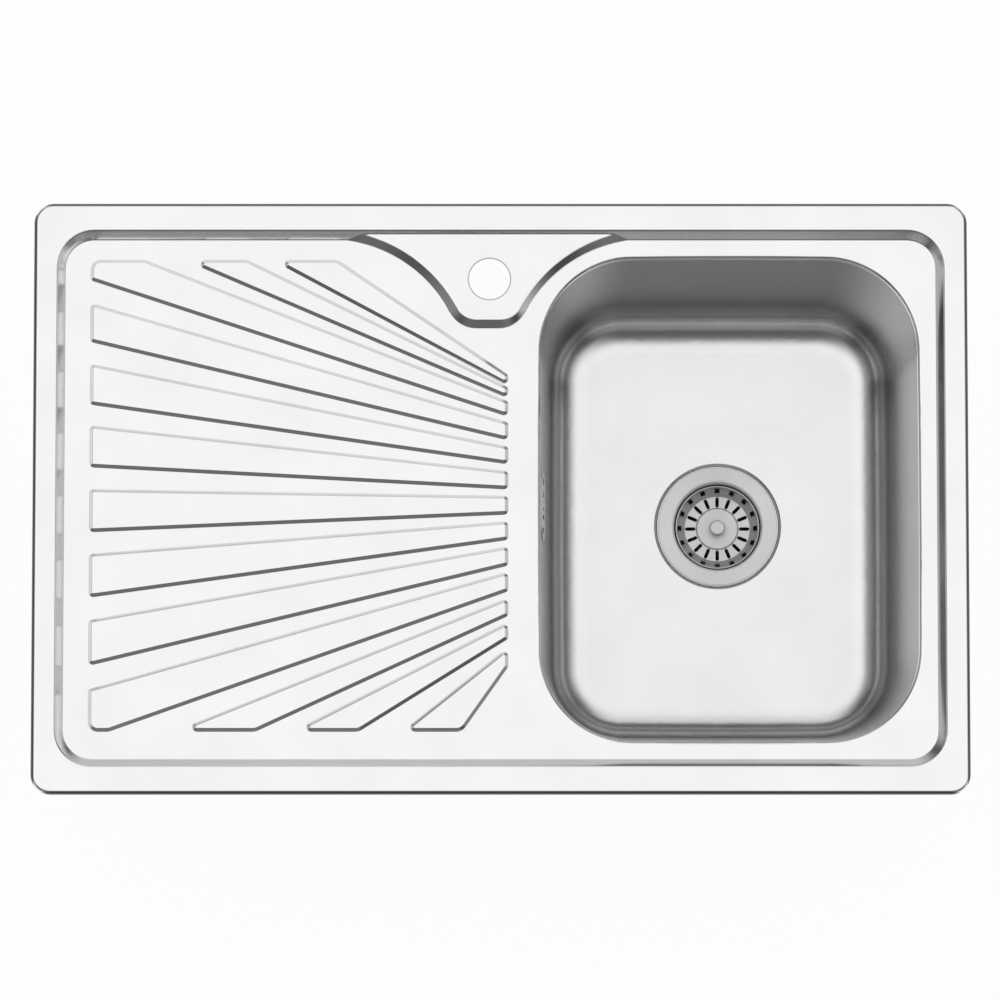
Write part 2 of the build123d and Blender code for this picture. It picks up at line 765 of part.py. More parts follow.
def overflow_screw():
    """Screw that draws the overflow housing up against the bowl."""
    seat = overflow_plate_gap + overflow_plate_thickness
    head = ring(overflow_head_radius, 0, seat, overflow_head_height)
    head = fillet(head.faces().sort_by(Axis.Z)[-1].edges(), overflow_head_height * 0.6)
    tip = overflow_gasket_back - housing_depth + housing_wall + 4
    screw = head + ring(overflow_screw_radius, 0, tip, seat - tip)
    drive = Box(0.9, 2 * overflow_head_radius, 1.0) + Box(2 * overflow_head_radius, 0.9, 1.0)
    drive = drive & Cylinder(overflow_head_radius - 1.4, 4)
    screw -= Pos(0, 0, seat + overflow_head_height) * drive
    return overflow_face.location * screw


def overflow_gasket():
    """Foam gasket between the bowl's wall and the overflow housing."""
    outer = SlotOverall(overflow_gasket_length, overflow_gasket_height)
    inner = SlotOverall(overflow_hole_length, overflow_hole_height)
    gasket = extrude(outer - inner, amount=-sheet - overflow_gasket_thickness)
    return overflow_face.location * gasket - bowl_cavity(sheet)


def overflow_housing():
    """Plastic box behind the overflow hole, with a spigot for the pipe below it."""
    face = overflow_face.location * Pos(0, 0, overflow_gasket_back)
    flange = extrude(SlotOverall(overflow_gasket_length, overflow_gasket_height), amount=-housing_flange)
    box = outline(housing_length, housing_height, 5)
    outside = flange + extrude(box, amount=-housing_flange - housing_depth)
    outside = fillet(outside.faces().sort_by(Axis.Z)[0].edges(), 3)
    space = outline(housing_length - 2 * housing_wall, housing_height - 2 * housing_wall, 3)
    inside_depth = housing_flange + housing_depth - housing_wall
    inside = extrude(space, amount=-inside_depth)
    spigot_foot = overflow_level - housing_height / 2 - spigot_length
    base = (Align.CENTER, Align.CENTER, Align.MIN)
    axis = Pos(pipe_x, drain_y, spigot_foot)
    height = overflow_level - housing_wall - spigot_foot
    spigot = axis * Cylinder(spigot_outer, height, align=base)
    housing = face * outside + spigot
    housing -= face * inside
    housing -= axis * Cylinder(pipe_radius - pipe_wall, height, align=base)
    housing -= axis * Cylinder(spigot_inner, pipe_entry, align=base)
    boss = Cylinder(boss_radius, inside_depth - 1, align=(Align.CENTER, Align.CENTER, Align.MIN))
    boss -= Cylinder(overflow_screw_radius + thread_clearance, 3 * inside_depth)
    boss_place = face * Pos(0, 0, -inside_depth - housing_wall / 2)
    return housing + boss_place * (boss & Pos(0, 0, 0) * Box(20, 20, 2 * inside_depth))


def overflow_pipe():
    """Plastic pipe from the overflow housing down and across to the waste body."""
    top = overflow_level - housing_height / 2 - spigot_length + pipe_entry
    route = FilletPolyline(
        (pipe_x, drain_y, top),
        (pipe_x, drain_y, pipe_level),
        (pipe_end_x, drain_y, pipe_level),
        radius=pipe_bend,
    )
    start = Plane(origin=route @ 0, z_dir=route % 0)
    outside = sweep(start * Circle(pipe_radius), path=route)
    bore = sweep(start * Circle(pipe_radius - pipe_wall), path=route)
    return outside - bore


def compression_nut():
    """Grip nut that closes a joint of the overflow pipe, mouth up, on the vertical axis."""
    bore = spigot_outer + nut_clearance
    outer = bore + nut_wall
    nut = ring(outer, bore, nut_lip, nut_length - nut_lip)
    nut += ring(outer, pipe_radius + nut_clearance, 0, nut_lip)
    nut = fillet(nut.edges().filter_by(lambda e: e.bounding_box().size.X > 2 * outer - 0.5), 0.8)
    for place in PolarLocations(outer + 4, nut_grips):
        nut -= place * Cylinder(4 + grip_depth, 3 * nut_length)
    return nut


def pipe_washer():
    """Cone washer that the nut squeezes round the pipe."""
    tip = spigot_outer - washer_cone
    section = [
        (pipe_radius, 0),
        (spigot_outer, 0),
        (spigot_outer, washer_length / 3),
        (tip, washer_length),
        (pipe_radius, washer_length),
    ]
    return turned(section)


def joint_places():
    """Where the overflow pipe's two joints are: the end of each spigot, looking into it."""
    upper = Pos(pipe_x, drain_y, overflow_level - housing_height / 2 - spigot_length)
    lower_x = drain_x - body_inner_radius - body_wall - spigot_length
    return upper, Pos(lower_x, drain_y, pipe_level) * Rot(0, 90, 0)


def bracket():
    """Bent strip welded under the rim, with a nut at its foot for the clamp's screw."""
    leg = bracket_sheet
    half = bracket_width / 2
    inner = -clamp_axis_inset - bracket_inset
    outer = inner + 2 * bracket_inset + leg
    section = [
        (inner, bracket_level),
        (outer, bracket_level),
        (outer, rim_under - leg),
        (outer + bracket_tab, rim_under - leg),
        (outer + bracket_tab, rim_under),
        (outer - leg, rim_under),
        (outer - leg, bracket_level + leg),
        (inner, bracket_level + leg),
    ]
    strip = Plane.XZ.location * make_face(Polyline(*section, close=True))
    strip = extrude(strip, amount=half, both=True)
    nut = Pos(-clamp_axis_inset, 0, bracket_level + leg) * extrude(
        RegularPolygon(bracket_nut_radius, 6), amount=bracket_nut_height
    )
    hole = Cylinder(clamp_screw_radius + clamp_clearance, 60)
    return strip + nut - Pos(-clamp_axis_inset, 0, bracket_level) * hole


def clamp_screw():
    """Screw of a rim clamp, driven from below, with a washer under its arm."""
    washer_top = arm_top - arm_sheet - clamp_gap
    head_top = washer_top - clamp_washer_height
    shaft = ring(clamp_screw_radius, 0, washer_top - 1, clamp_tip_level - washer_top + 1)
    shaft = chamfer(shaft.faces().sort_by(Axis.Z)[-1].edges(), 0.6)
    screw = shaft + ring(clamp_washer_radius, 0, head_top, clamp_washer_height)
    head = extrude(RegularPolygon(clamp_head_radius, 6), amount=-clamp_head_height)
    drive = Box(clamp_slot_width, 2 * clamp_head_radius, 2 * clamp_slot_depth)
    head -= Pos(0, 0, -clamp_head_height) * drive
    return screw + Pos(0, 0, head_top) * head


def clamp_arm():
    """Arm of a rim clamp, stowed along the rim: pressed channel with a toothed claw."""
    half = arm_width / 2
    plate = Circle(half) + Pos(0, -arm_reach / 2) * Rectangle(arm_width, arm_reach)
    arm = extrude(Pos(0, 0, arm_top - arm_sheet) * plate, amount=arm_sheet)
    for side in (-1, 1):
        rib = Box(arm_sheet, arm_reach - half - 4, arm_flange, align=(Align.CENTER, Align.MIN, Align.MAX))
        arm += Pos(side * (half - arm_sheet / 2), -arm_reach, arm_top - arm_sheet) * rib
    claw = Box(arm_width, arm_sheet, claw_height, align=(Align.CENTER, Align.MIN, Align.MIN))
    arm += Pos(0, -arm_reach, arm_top) * claw
    for side in (-1, 1):
        notch = Rot(0, 45, 0) * Box(claw_tooth, 3 * arm_sheet, claw_tooth)
        arm -= Pos(side * arm_width / 5, -arm_reach + arm_sheet / 2, arm_top + claw_height) * notch
    return arm - Pos(0, 0, arm_top) * Cylinder(clamp_screw_radius + clamp_clearance, 6 * arm_sheet)


def clamp_place(along, back, right):
    """Where a clamp sits: on the worktop opening's edge, X pointing out under the worktop."""
    if right:
        return Pos(right * cutout_width / 2, along) * Rot(0, 0, 0 if right > 0 else 180)
    return Pos(along, back * cutout_depth / 2) * Rot(0, 0, 90 * back)


def earth_tag():
    """Bent tag for the earth lead, welded under the back of the rim."""
    y = cutout_depth / 2 - tag_inset
    weld = Box(tag_width, tag_weld, tag_sheet, align=(Align.CENTER, Align.MIN, Align.MAX))
    leg = Box(tag_width, tag_sheet, tag_drop, align=(Align.CENTER, Align.MIN, Align.MAX))
    tag = weld + leg
    tag -= Pos(0, 0, -tag_hole_drop) * Rot(90, 0, 0) * Cylinder(tag_hole_radius, 6 * tag_sheet)
    return Pos(tag_end_inset - rim_width / 2, y, rim_under) * tag


def write(name, *solids):
    """Writes one named sub-part; several solids make one group."""
    shape = solids[0] if len(solids) == 1 else Compound(children=list(solids))
    export_step(shape, f"parts/{name}.step")


def main():
    os.makedirs("parts", exist_ok=True)
    write("deck", deck())
    write("bowl", bowl())
    write("rim_seal", rim_seal())
    pad_middle = drain_recess_radius + pad_margin + pad_depth / 2
    write("sound_pad_front", sound_pad(drain_y - pad_middle))
    write("sound_pad_back", sound_pad(drain_y + pad_middle))
    write("strainer_body", strainer_body())
    write("flange_gasket", flange_gasket())
    write("body_gasket", body_gasket())
    write("waste_body", waste_body())
    write("waste_insert", waste_insert())
    write("waste_screw", waste_screw())
    write("strainer_basket", strainer_basket())
    write("strainer_post", strainer_post())
    write("strainer_knob", strainer_knob())
    write("rubber_plug", rubber_plug())
    write("post_clip", post_clip())
    write("overflow_plate", overflow_plate())
    write("overflow_screw", overflow_screw())
    write("overflow_gasket", overflow_gasket())
    write("overflow_housing", overflow_housing())
    write("overflow_pipe", overflow_pipe())
    upper, lower = joint_places()
    nut_back = Pos(0, 0, -washer_length - nut_lip)
    write("overflow_nut_upper", upper * nut_back * compression_nut())
    write("overflow_nut_lower", lower * nut_back * compression_nut())
    washer_back = Pos(0, 0, -washer_length)
    write("pipe_washers", upper * washer_back * pipe_washer(), lower * washer_back * pipe_washer())
    brackets = []
    for name, (along, back, right) in clamp_places.items():
        place = clamp_place(along, back, right)
        brackets.append(place * bracket())
        axis = place * Pos(-clamp_axis_inset, 0, 0)
        write(f"clamp_screw_{name}", axis * clamp_screw())
        write(f"clamp_arm_{name}", axis * clamp_arm())
    write("clamp_brackets", *brackets)
    write("earth_tag", earth_tag())


main()
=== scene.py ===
"""Inset kitchen sink: surfaces, screw threads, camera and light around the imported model."""

import json
import math

import bmesh
import bpy
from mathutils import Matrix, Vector

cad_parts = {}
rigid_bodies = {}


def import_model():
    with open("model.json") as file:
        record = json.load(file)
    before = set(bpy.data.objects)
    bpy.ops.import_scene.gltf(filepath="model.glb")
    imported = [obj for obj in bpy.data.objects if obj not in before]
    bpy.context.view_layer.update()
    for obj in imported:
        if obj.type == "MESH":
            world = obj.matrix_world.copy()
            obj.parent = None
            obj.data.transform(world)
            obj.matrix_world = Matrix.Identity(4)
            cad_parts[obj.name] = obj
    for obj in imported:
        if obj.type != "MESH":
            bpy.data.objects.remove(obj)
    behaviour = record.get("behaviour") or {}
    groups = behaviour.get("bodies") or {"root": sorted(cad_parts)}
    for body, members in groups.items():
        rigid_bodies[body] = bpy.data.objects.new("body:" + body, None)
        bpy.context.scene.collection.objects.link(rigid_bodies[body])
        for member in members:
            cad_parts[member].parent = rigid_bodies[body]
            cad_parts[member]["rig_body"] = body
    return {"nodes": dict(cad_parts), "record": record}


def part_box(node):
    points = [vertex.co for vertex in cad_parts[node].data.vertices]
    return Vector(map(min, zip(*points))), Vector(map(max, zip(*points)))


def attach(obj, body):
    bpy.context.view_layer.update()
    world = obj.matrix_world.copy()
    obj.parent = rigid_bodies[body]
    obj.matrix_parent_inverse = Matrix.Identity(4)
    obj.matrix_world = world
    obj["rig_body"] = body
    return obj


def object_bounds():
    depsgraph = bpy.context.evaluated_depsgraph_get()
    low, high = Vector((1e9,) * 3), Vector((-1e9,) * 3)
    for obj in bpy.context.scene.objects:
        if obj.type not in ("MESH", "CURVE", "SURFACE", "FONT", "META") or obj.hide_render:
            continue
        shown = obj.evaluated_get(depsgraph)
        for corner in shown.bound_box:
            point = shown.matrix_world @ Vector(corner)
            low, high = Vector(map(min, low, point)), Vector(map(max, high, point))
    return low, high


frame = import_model()
cad_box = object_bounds()
nodes = frame["nodes"]
record = frame["record"]
slot_of = {part["node"]: part["material_slot"] for part in record["subparts"]}
mounts = {mount["name"]: mount for mount in record["mounts"]}

MM = 0.001
LOWEST = cad_box[0][2]
RIM_HALF_WIDTH, RIM_HALF_DEPTH, RIM_TOP = cad_box[1]


# ---------------------------------------------------------------- camera

# It looks down from the front, a little off the vertical; the view's width is at the target.
CAMERA_DISTANCE = 8.0
CAMERA_ELEVATION = math.radians(81.5)
VIEW_WIDTH = 0.8433
SENSOR_WIDTH = 36.0
CLIP_END = 50.0
TARGET = Vector((-0.0005, -0.0024, RIM_TOP))

camera_data = bpy.data.cameras.new("camera")
camera = bpy.data.objects.new("camera", camera_data)
bpy.context.scene.collection.objects.link(camera)
camera_data.type = "PERSP"
camera_data.sensor_fit = "HORIZONTAL"
camera_data.sensor_width = SENSOR_WIDTH
camera_data.lens = CAMERA_DISTANCE * SENSOR_WIDTH / VIEW_WIDTH
camera_data.clip_end = CLIP_END
towards_camera = Vector((0.0, -math.cos(CAMERA_ELEVATION), math.sin(CAMERA_ELEVATION)))
camera.location = TARGET + CAMERA_DISTANCE * towards_camera
camera.rotation_euler = (math.pi / 2 - CAMERA_ELEVATION, 0.0, 0.0)
bpy.context.scene.camera = camera


# ---------------------------------------------------------------- shader nodes

# Most of a noise texture's values lie between these two.
NOISE_LOW = 0.3
NOISE_HIGH = 0.7


def new_material(name):
    material = bpy.data.materials.new(name)
    material.use_nodes = True
    tree = material.node_tree
    shader = tree.nodes["Principled BSDF"]
    return material, tree, shader


def grey(level):
    return (level, level, level, 1.0)


def feed(tree, socket, value):
    """Links a socket to another node's output, or sets it to a plain value."""
    if isinstance(value, bpy.types.NodeSocket):
        tree.links.new(value, socket)
    else:
        socket.default_value = value


def coordinates(tree, kind):
    return tree.nodes.new("ShaderNodeTexCoord").outputs[kind]


def split_vector(tree, vector):
    node = tree.nodes.new("ShaderNodeSeparateXYZ")
    tree.links.new(vector, node.inputs["Vector"])
    return [node.outputs[axis] for axis in "XYZ"]


def calculate(tree, operation, *values):
    node = tree.nodes.new("ShaderNodeMath")
    node.operation = operation
    for socket, value in zip(node.inputs, values):
        feed(tree, socket, value)
    return node.outputs[0]


def ramp(tree, factor, low, high, start=NOISE_LOW, end=NOISE_HIGH):
    """Maps a factor's range start..end to low..high, and holds it beyond."""
    node = tree.nodes.new("ShaderNodeMapRange")
    node.inputs["From Min"].default_value = start
    node.inputs["From Max"].default_value = end
    node.inputs["To Min"].default_value = low
    node.inputs["To Max"].default_value = high
    tree.links.new(factor, node.inputs["Value"])
    return node.outputs["Result"]


def mix_colours(tree, factor, first, second):
    node = tree.nodes.new("ShaderNodeMix")
    node.data_type = "RGBA"
    feed(tree, node.inputs["Factor"], factor)
    feed(tree, node.inputs["A"], first)
    feed(tree, node.inputs["B"], second)
    return node.outputs["Result"]


def multiply(tree, colour, level):
    node = tree.nodes.new("ShaderNodeVectorMath")
    node.operation = "SCALE"
    tree.links.new(colour, node.inputs[0])
    tree.links.new(level, node.inputs["Scale"])
    return node.outputs["Vector"]


def noise(tree, scale, stretch=(1, 1, 1), detail=3.0, roughness=0.55):
    """Noise in the object's own coordinates; stretch below 1 draws it out along that axis."""
    mapping = tree.nodes.new("ShaderNodeMapping")
    mapping.inputs["Scale"].default_value = stretch
    texture = tree.nodes.new("ShaderNodeTexNoise")
    texture.inputs["Scale"].default_value = scale
    texture.inputs["Detail"].default_value = detail
    texture.inputs["Roughness"].default_value = roughness
    tree.links.new(coordinates(tree, "Object"), mapping.inputs["Vector"])
    tree.links.new(mapping.outputs["Vector"], texture.inputs["Vector"])
    return texture.outputs["Fac"]


def bump(tree, height, strength, distance):
    node = tree.nodes.new("ShaderNodeBump")
    node.inputs["Strength"].default_value = strength
    node.inputs["Distance"].default_value = distance
    tree.links.new(height, node.inputs["Height"])
    return node.outputs["Normal"]


# ---------------------------------------------------------------- where shade is painted on the steel

# Painted shade on upright faces: it fades from an upright face to a level one, by the vertical part of
# its normal.
PAINTED_SHADE_WALL_TILT = (0.14, 0.45)
# Painted shade on the rounded edge of the sheet and round the tap hole, measured inwards from its
# outline.
PAINTED_SHADE_EDGE_BAND = (0.0019, 0.0033)
PAINTED_SHADE_FRONT_SHIFT = 0.0008
PAINTED_SHADE_HOLE_SHIFT = 0.0020
TAP_HOLE = (*mounts["tap_hole"]["pos_m"][:2], 0.0)
TAP_HOLE_RADIUS = mounts["tap_hole"]["dims"]["r_mm"] * MM
# Painted shade fades out between the inside of the strainer's cup and its flange.
PAINTED_CUP_SHADE_LEVELS = (-0.160, -0.153)


def painted_wall_shade_mask(tree):
    """Where shade is painted: 0 on faces that stand upright, 1 on level ones."""
    upward = split_vector(tree, coordinates(tree, "Normal"))[2]
    return ramp(tree, calculate(tree, "ABSOLUTE", upward), 0.0, 1.0, *PAINTED_SHADE_WALL_TILT)


def distance_from(tree, x, y, centre):
    level = tree.nodes.new("ShaderNodeCombineXYZ")
    tree.links.new(x, level.inputs["X"])
    tree.links.new(y, level.inputs["Y"])
    node = tree.nodes.new("ShaderNodeVectorMath")
    node.operation = "DISTANCE"
    node.inputs[1].default_value = centre
    tree.links.new(level.outputs["Vector"], node.inputs[0])
    return node.outputs["Value"]


def painted_edge_shade_mask(tree):
    """Where shade is painted: 0 on the sheet's outer edge and around the tap hole, 1 further in."""
    x, y, _ = split_vector(tree, coordinates(tree, "Object"))
    from_side = calculate(tree, "SUBTRACT", RIM_HALF_WIDTH, calculate(tree, "ABSOLUTE", x))
    from_back = calculate(tree, "SUBTRACT", RIM_HALF_DEPTH, y)
    from_front = calculate(tree, "ADD", RIM_HALF_DEPTH + PAINTED_SHADE_FRONT_SHIFT, y)
    from_centre = distance_from(tree, x, y, TAP_HOLE)
    from_hole = calculate(tree, "SUBTRACT", from_centre, TAP_HOLE_RADIUS - PAINTED_SHADE_HOLE_SHIFT)
    nearest = from_side
    for distance in (from_back, from_front, from_hole):
        nearest = calculate(tree, "MINIMUM", nearest, distance)
    return ramp(tree, nearest, 0.0, 1.0, *PAINTED_SHADE_EDGE_BAND)


def painted_cup_shade_mask(tree):
    """Where shade is painted: 0 inside the strainer's cup, 1 on its flange."""
    height = split_vector(tree, coordinates(tree, "Object"))[2]
    return ramp(tree, height, 0.0, 1.0, *PAINTED_CUP_SHADE_LEVELS)


def paint_shade(tree, colour, mask, shade):
    """Paints shade: multiplies a colour by `shade` where the mask is 0 and leaves it alone where it is 1.
    """
    return multiply(tree, colour, ramp(tree, mask, shade, 1.0, 0.0, 1.0))


# ---------------------------------------------------------------- materials

CLOUDS = {"scale": 14.0, "detail": 4.0}
GRAIN = {"detail": 4.0, "roughness": 0.6}
GRAIN_STRENGTH = 0.35
QUARTER_TURN = 0.25

DRIFT = {"scale": 20.0, "detail": 3.0}
PEEL = {"scale": 900.0, "detail": 2.0}
PEEL_STRENGTH = 0.25
SCUFFS = {"scale": 60.0, "stretch": (1, 1, 0.3), "detail": 5.0, "roughness": 0.7}
SCUFF_LESS = 0.06
SCUFF_MORE = 0.1

DUST = {"scale": 45.0, "detail": 5.0, "roughness": 0.65}
DUST_LESS = 0.05
DUST_MORE = 0.08
PORE_DETAIL = 3.0
PORE_STRENGTH = 0.6


def steel(name, low, high, rough, spread, grain, grain_scale, depth,
          wall_painted_shade=1.0, edge_painted_shade=1.0, cup_painted_shade=1.0, ring_grain=0.0):
    """Stainless steel: fine grain drawn out along one axis and cloudy polish.

    The three shade factors paint shade into the colour: painted shade on faces that stand upright, on the
    sheet's rounded edges and round the tap hole, and inside the strainer's cup; ring_grain is for a face
    turned on a lathe."""
    material, tree, shader = new_material(name)
    shader.inputs["Metallic"].default_value = 1.0
    lines = noise(tree, grain_scale, grain, **GRAIN)
    colour = mix_colours(tree, ramp(tree, noise(tree, **CLOUDS), 0.0, 1.0), low, high)
    # Painted shade: the colour is darkened on upright faces, at the sheet's edges and inside the
    # strainer's cup.
    for shade, mask in ((wall_painted_shade, painted_wall_shade_mask), (edge_painted_shade, painted_edge_shade_mask), (cup_painted_shade, painted_cup_shade_mask)):
        if shade < 1.0:
            colour = paint_shade(tree, colour, mask(tree), shade)
    tree.links.new(colour, shader.inputs["Base Color"])
    tree.links.new(ramp(tree, lines, rough - spread, rough + spread), shader.inputs["Roughness"])
    if ring_grain:
        shader.inputs["Anisotropic"].default_value = ring_grain
        shader.inputs["Anisotropic Rotation"].default_value = QUARTER_TURN
        around = tree.nodes.new("ShaderNodeTangent")
        around.direction_type = "RADIAL"
        around.axis = "Z"
        tree.links.new(around.outputs["Tangent"], shader.inputs["Tangent"])
    tree.links.new(bump(tree, lines, GRAIN_STRENGTH, depth), shader.inputs["Normal"])
    return material


def plastic(name, low, high, rough, depth):
    """Moulded plastic: faint colour drift, fine orange peel and scuffed gloss."""
    material, tree, shader = new_material(name)
    scuffs = noise(tree, **SCUFFS)
    colour = mix_colours(tree, ramp(tree, noise(tree, **DRIFT), 0.0, 1.0), low, high)
    tree.links.new(colour, shader.inputs["Base Color"])
    tree.links.new(ramp(tree, scuffs, rough - SCUFF_LESS, rough + SCUFF_MORE), shader.inputs["Roughness"])
    tree.links.new(bump(tree, noise(tree, **PEEL), PEEL_STRENGTH, depth), shader.inputs["Normal"])
    return material


def rubbery(name, low, high, rough, pore_scale, depth):
    """Foam, rubber or bitumen: dark, pored and dusty."""
    material, tree, shader = new_material(name)
    dust = noise(tree, **DUST)
    pores = noise(tree, pore_scale, detail=PORE_DETAIL)
    colour = mix_colours(tree, ramp(tree, dust, 0.0, 1.0), low, high)
    tree.links.new(colour, shader.inputs["Base Color"])
    tree.links.new(ramp(tree, dust, rough - DUST_LESS, rough + DUST_MORE), shader.inputs["Roughness"])
    tree.links.new(bump(tree, pores, PORE_STRENGTH, depth), shader.inputs["Normal"])
    return material


# How the grain of a brushed face is stretched along X, Y and Z.
LEFT_RIGHT = (0.02, 1, 1)
UP_DOWN = (1, 1, 0.03)
EVEN = (1, 1, 1)

# Shade factors below 1 paint shade into a steel's colour: at the top's edges, on the bowl's upright walls
# and inside the strainer's cup.
STEELS = {
    "steel_top": dict(
        low=grey(0.76), high=grey(0.80), rough=0.15, spread=0.02,
        grain=LEFT_RIGHT, grain_scale=1600.0, depth=0.000004, edge_painted_shade=0.15),
    "steel_bowl": dict(
        low=grey(0.705), high=grey(0.745), rough=0.24, spread=0.03,
        grain=UP_DOWN, grain_scale=1200.0, depth=0.000002, wall_painted_shade=0.50),
    "strainer_steel": dict(
        low=grey(0.67), high=grey(0.74), rough=0.44, spread=0.03,
        grain=EVEN, grain_scale=900.0, depth=0.000002, cup_painted_shade=0.2, ring_grain=0.9),
    "basket_steel": dict(
        low=grey(0.52), high=grey(0.58), rough=0.34, spread=0.03,
        grain=EVEN, grain_scale=900.0, depth=0.000001, ring_grain=0.85),
    "screw_steel": dict(
        low=(0.60, 0.61, 0.62, 1), high=(0.70, 0.71, 0.72, 1), rough=0.28, spread=0.06,
        grain=EVEN, grain_scale=700.0, depth=0.00003),
    "zinc_steel": dict(
        low=(0.56, 0.58, 0.60, 1), high=(0.68, 0.69, 0.70, 1), rough=0.38, spread=0.08,
        grain=EVEN, grain_scale=300.0, depth=0.00004),
    "tag_steel": dict(
        low=(0.62, 0.63, 0.64, 1), high=(0.70, 0.71, 0.72, 1), rough=0.32, spread=0.05,
        grain=UP_DOWN, grain_scale=900.0, depth=0.00002),
    "brass": dict(
        low=(0.66, 0.47, 0.20, 1), high=(0.76, 0.58, 0.28, 1), rough=0.30, spread=0.06,
        grain=EVEN, grain_scale=500.0, depth=0.00002),
}
RUBBERS = {
    "seal_foam": dict(
        low=(0.028, 0.028, 0.030, 1), high=(0.055, 0.055, 0.058, 1),
        rough=0.85, pore_scale=1400.0, depth=0.0003),
    "damping_pad": dict(
        low=(0.016, 0.016, 0.018, 1), high=(0.035, 0.034, 0.034, 1),
        rough=0.72, pore_scale=500.0, depth=0.0004),
    "rubber": dict(
        low=(0.012, 0.012, 0.012, 1), high=(0.025, 0.025, 0.026, 1),
        rough=0.55, pore_scale=700.0, depth=0.0001),
}
PLASTICS = {
    "waste_plastic": dict(
        low=(0.80, 0.80, 0.77, 1), high=(0.86, 0.86, 0.84, 1), rough=0.34, depth=0.00004),
    "pipe_plastic": dict(
        low=(0.78, 0.78, 0.75, 1), high=(0.84, 0.84, 0.81, 1), rough=0.42, depth=0.00004),
    "nut_plastic": dict(
        low=(0.74, 0.74, 0.72, 1), high=(0.81, 0.81, 0.79, 1), rough=0.30, depth=0.00005),
}

slot_materials = {}
for make, looks in ((steel, STEELS), (rubbery, RUBBERS), (plastic, PLASTICS)):
    for slot_name, look in looks.items():
        slot_materials[slot_name] = make(slot_name, **look)

for node_name, slot_name in slot_of.items():
    node = nodes[node_name]
    material = slot_materials[slot_name]
    if not node.material_slots:
        node.data.materials.append(material)
    for slot in node.material_slots:
        slot.material = material


# ---------------------------------------------------------------- screw threads

THREAD_STEPS = 32
# The ridge's foot lies this far inside the shaft.
THREAD_SINK = 0.0003
# Half widths of the ridge, as shares of the pitch.
FOOT_SHARE = 0.44
CREST_SHARE = 0.09
# Turns over which each end runs out.
RUN_OUT = 0.5

OUTLET = mounts["waste_outlet"]
OUTLET_RADIUS = OUTLET["dims"]["r_mm"] * MM
OUTLET_THREAD = {"bottom": -0.2415, "top": -0.2125, "pitch": 0.0024, "height": 0.0007}
SCREW_RADIUS = 0.0025
SCREW_HEAD = 0.0034
SCREW_END = 0.001
SCREW_THREAD = {"pitch": 0.001, "height": 0.0002}
SCREW_PREFIX = "clamp_screw_"


def thread(name, node_name, centre, radius, bottom, top, pitch, height):
    """A helical ridge wound round a node's shaft, running out to nothing at both ends."""
    mesh = bmesh.new()
    root = radius - THREAD_SINK
    count = int((top - bottom) / pitch * THREAD_STEPS)
    rings = []
    for step in range(count + 1):
        angle = 2 * math.pi * step / THREAD_STEPS
        level = bottom + pitch * step / THREAD_STEPS
        turns_to_end = min(step, count - step) / THREAD_STEPS
        crest = radius + height * min(1.0, turns_to_end / RUN_OUT)
        profile = ((root, -FOOT_SHARE), (crest, -CREST_SHARE), (crest, CREST_SHARE), (root, FOOT_SHARE))
        ring = []
        for reach, share_of_pitch in profile:
            x = centre[0] + reach * math.cos(angle)
            y = centre[1] + reach * math.sin(angle)
            ring.append(mesh.verts.new((x, y, level + share_of_pitch * pitch)))
        rings.append(ring)
    for first, second in zip(rings, rings[1:]):
        for corner in range(len(first)):
            following = (corner + 1) % len(first)
            mesh.faces.new((first[corner], second[corner], second[following], first[following]))
    mesh.faces.new(rings[0])
    mesh.faces.new(reversed(rings[-1]))
    bmesh.ops.recalc_face_normals(mesh, faces=mesh.faces)
    data = bpy.data.meshes.new(name)
    mesh.to_mesh(data)
    mesh.free()
    piece = bpy.data.objects.new(name, data)
    bpy.context.scene.collection.objects.link(piece)
    slot_name = slot_of[node_name]
    data.materials.append(slot_materials[slot_name])
    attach(piece, nodes[node_name]["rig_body"])


thread("waste_thread", "waste_body", OUTLET["pos_m"], OUTLET_RADIUS, **OUTLET_THREAD)
for node_name in sorted(nodes):
    if node_name.startswith(SCREW_PREFIX):
        low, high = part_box(node_name)
        middle = ((low[0] + high[0]) / 2, (low[1] + high[1]) / 2)
        bottom = low[2] + SCREW_HEAD + SCREW_END
        top = high[2] - SCREW_END
        place_name = node_name.removeprefix(SCREW_PREFIX)
        thread(f"clamp_thread_{place_name}", node_name, middle, SCREW_RADIUS, bottom, top, **SCREW_THREAD)


# ---------------------------------------------------------------- floor

FLOOR_DROP = 0.002
FLOOR_HALF = 6.0
FLOOR_COLOUR = grey(0.95)
FLOOR_ROUGHNESS = 0.9
GLOW_SHARE = 0.96

floor_level = LOWEST - FLOOR_DROP
corner_signs = ((-1, -1), (1, -1), (1, 1), (-1, 1))
floor_corners = [(x * FLOOR_HALF, y * FLOOR_HALF, floor_level) for x, y in corner_signs]
floor_mesh = bpy.data.meshes.new("floor")
floor_mesh.from_pydata(floor_corners, [], [(0, 1, 2, 3)])
floor = bpy.data.objects.new("floor", floor_mesh)
bpy.context.scene.collection.objects.link(floor)

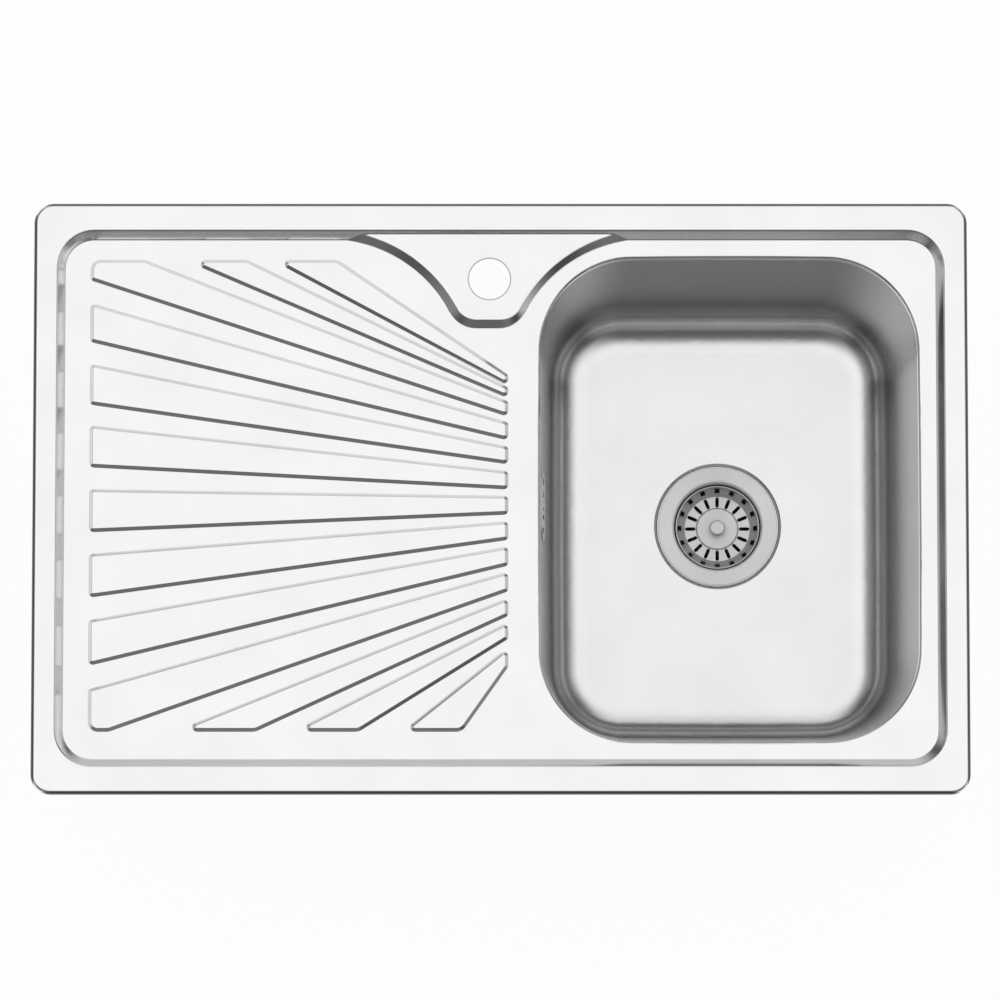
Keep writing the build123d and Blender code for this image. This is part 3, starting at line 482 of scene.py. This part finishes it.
# The camera and mirroring faces see a white floor; other light falls on a matt one.
floor_material, floor_tree, floor_shader = new_material("floor")
floor_shader.inputs["Base Color"].default_value = FLOOR_COLOUR
floor_shader.inputs["Roughness"].default_value = FLOOR_ROUGHNESS
glow = floor_tree.nodes.new("ShaderNodeEmission")
glow.inputs["Color"].default_value = grey(1.0)
glow.inputs["Strength"].default_value = 1.0
rays = floor_tree.nodes.new("ShaderNodeLightPath").outputs
seen = calculate(floor_tree, "MAXIMUM", rays["Is Camera Ray"], rays["Is Glossy Ray"])
seen = calculate(floor_tree, "MAXIMUM", seen, rays["Is Transmission Ray"])
mix = floor_tree.nodes.new("ShaderNodeMixShader")
floor_tree.links.new(calculate(floor_tree, "MULTIPLY", seen, GLOW_SHARE), mix.inputs["Fac"])
floor_tree.links.new(floor_shader.outputs["BSDF"], mix.inputs[1])
floor_tree.links.new(glow.outputs["Emission"], mix.inputs[2])
floor_tree.links.new(mix.outputs["Shader"], floor_tree.nodes["Material Output"].inputs["Surface"])
floor_mesh.materials.append(floor_material)


# ---------------------------------------------------------------- studio

# How bright the studio is on each side: (height of the direction, brightness).
STUDIO = {
    "right": ((0.0, 0.75), (0.16, 0.78), (0.24, 0.40), (0.34, 0.28),
              (0.50, 0.45), (0.64, 0.85), (0.78, 1.25), (1.0, 1.16)),
    "left": ((0.0, 0.65), (0.17, 0.60), (0.34, 0.36), (0.50, 0.24),
             (0.68, 0.50), (0.80, 1.20), (0.90, 1.30), (1.0, 1.16)),
    "front": ((0.0, 0.08), (0.17, 0.12), (0.34, 0.19), (0.50, 0.10),
              (0.78, 0.14), (0.88, 0.60), (0.95, 1.14), (1.0, 1.16)),
    "back": ((0.0, 0.15), (0.05, 0.25), (0.12, 0.75), (0.34, 0.80),
             (0.68, 1.0), (0.80, 1.12), (0.93, 1.16), (1.0, 1.16)),
}
GAP_DEPTH = 0.8
GAP_NARROWNESS = 2.5
GAP_HEIGHTS = (0.42, 0.68)
# The product of two shares that add up to one is at most a quarter.
PRODUCT_TO_SHARE = 4.0
# Keeps the direction straight up from a division by zero.
TINY = 1e-6

world = bpy.data.worlds.new("studio")
bpy.context.scene.world = world
world.use_nodes = True
sky = world.node_tree
background = sky.nodes["Background"]
east, north, height = split_vector(sky, coordinates(sky, "Generated"))


def side_of_studio(side):
    levels = STUDIO[side]
    node = sky.nodes.new("ShaderNodeValToRGB")
    stops = node.color_ramp.elements
    for stop, (place, level) in zip((stops[0], stops[1]), (levels[0], levels[-1])):
        stop.position = place
        stop.color = grey(level)
    for place, level in levels[1:-1]:
        stops.new(place).color = grey(level)
    sky.links.new(height, node.inputs["Fac"])
    return node.outputs["Color"]


east_squared = calculate(sky, "MULTIPLY", east, east)
north_squared = calculate(sky, "MULTIPLY", north, north)
level_squared = calculate(sky, "ADD", calculate(sky, "ADD", east_squared, north_squared), TINY)
level_length = calculate(sky, "SQRT", level_squared)


def between_sides(part, first, second):
    """Goes from the first side, where a level direction's part is -1, to the second, where it is 1."""
    share = calculate(sky, "MULTIPLY_ADD", calculate(sky, "DIVIDE", part, level_length), 0.5, 0.5)
    return mix_colours(sky, share, side_of_studio(first), side_of_studio(second))


sideways = calculate(sky, "DIVIDE", east_squared, level_squared)
across = between_sides(east, "left", "right")
along = between_sides(north, "front", "back")
light = mix_colours(sky, sideways, along, across)

# Between its four sides the studio has dark gaps, low down.
lengthways = calculate(sky, "SUBTRACT", 1.0, sideways)
product = calculate(sky, "MULTIPLY", sideways, lengthways)
diagonal = calculate(sky, "MULTIPLY", product, PRODUCT_TO_SHARE)
gap = calculate(sky, "MULTIPLY", calculate(sky, "POWER", diagonal, GAP_NARROWNESS), GAP_DEPTH)
low_down = ramp(sky, height, 1.0, 0.0, *GAP_HEIGHTS)
open_share = calculate(sky, "SUBTRACT", 1.0, calculate(sky, "MULTIPLY", gap, low_down))
sky.links.new(multiply(sky, light, open_share), background.inputs["Color"])
background.inputs["Strength"].default_value = 1.0

bpy.context.scene.view_settings.view_transform = "Standard"
